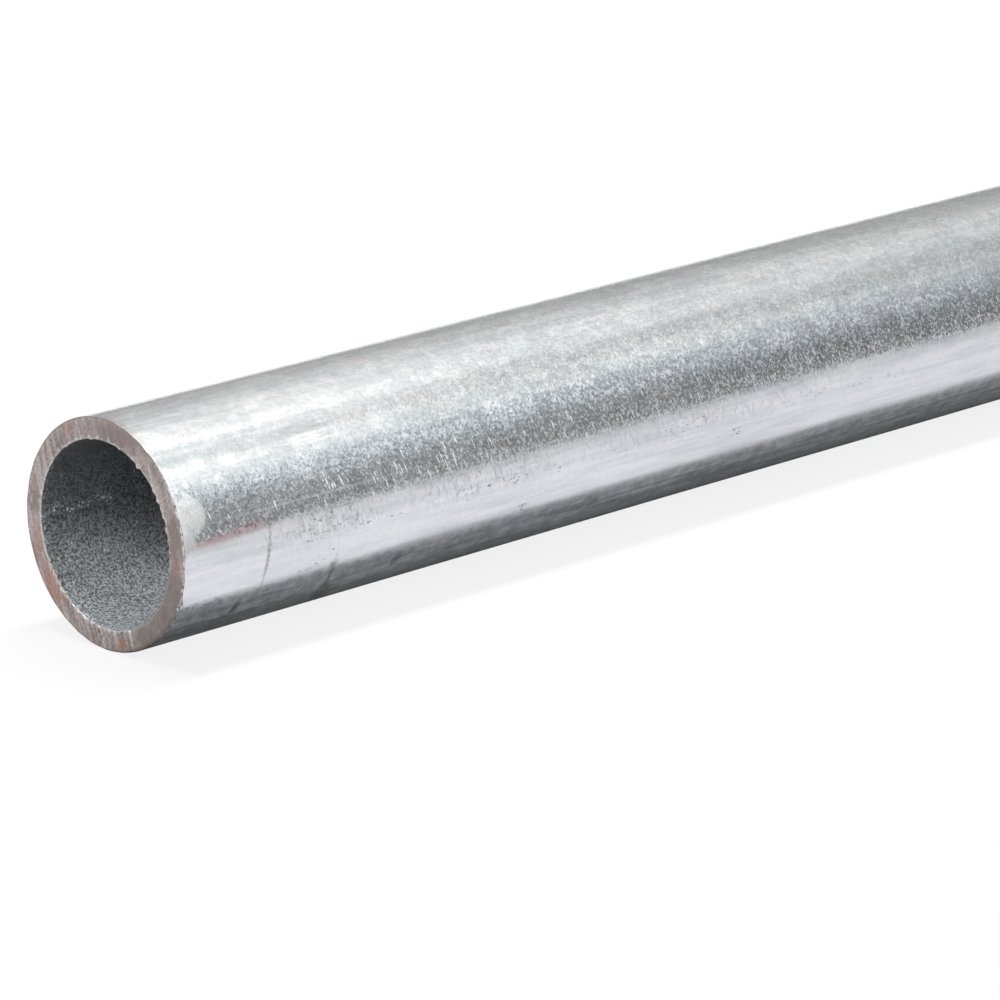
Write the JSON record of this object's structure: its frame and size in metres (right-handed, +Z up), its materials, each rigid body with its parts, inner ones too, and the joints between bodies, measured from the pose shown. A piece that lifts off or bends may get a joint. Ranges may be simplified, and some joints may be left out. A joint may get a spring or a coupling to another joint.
{
  "type": "galvanised steel tube",
  "caption": "Straight round galvanised steel tube with square-sawn open ends, lying on its side: raw stock for railings, racks and frames.",
  "frame": {"origin": "on the surface that the tube lies on, under the middle of its length", "axes": "+X along the tube's axis, +Z up, away from the surface that it lies on"},
  "size_m": [1, 0.0336, 0.0337],
  "materials": {
    "galvanised_steel": "bright hot-dip zinc, bare steel on the sawn end faces"
  },
  "bodies": {
    "root": {"steel_tube": "galvanised_steel"}
  },
  "joints": []
}
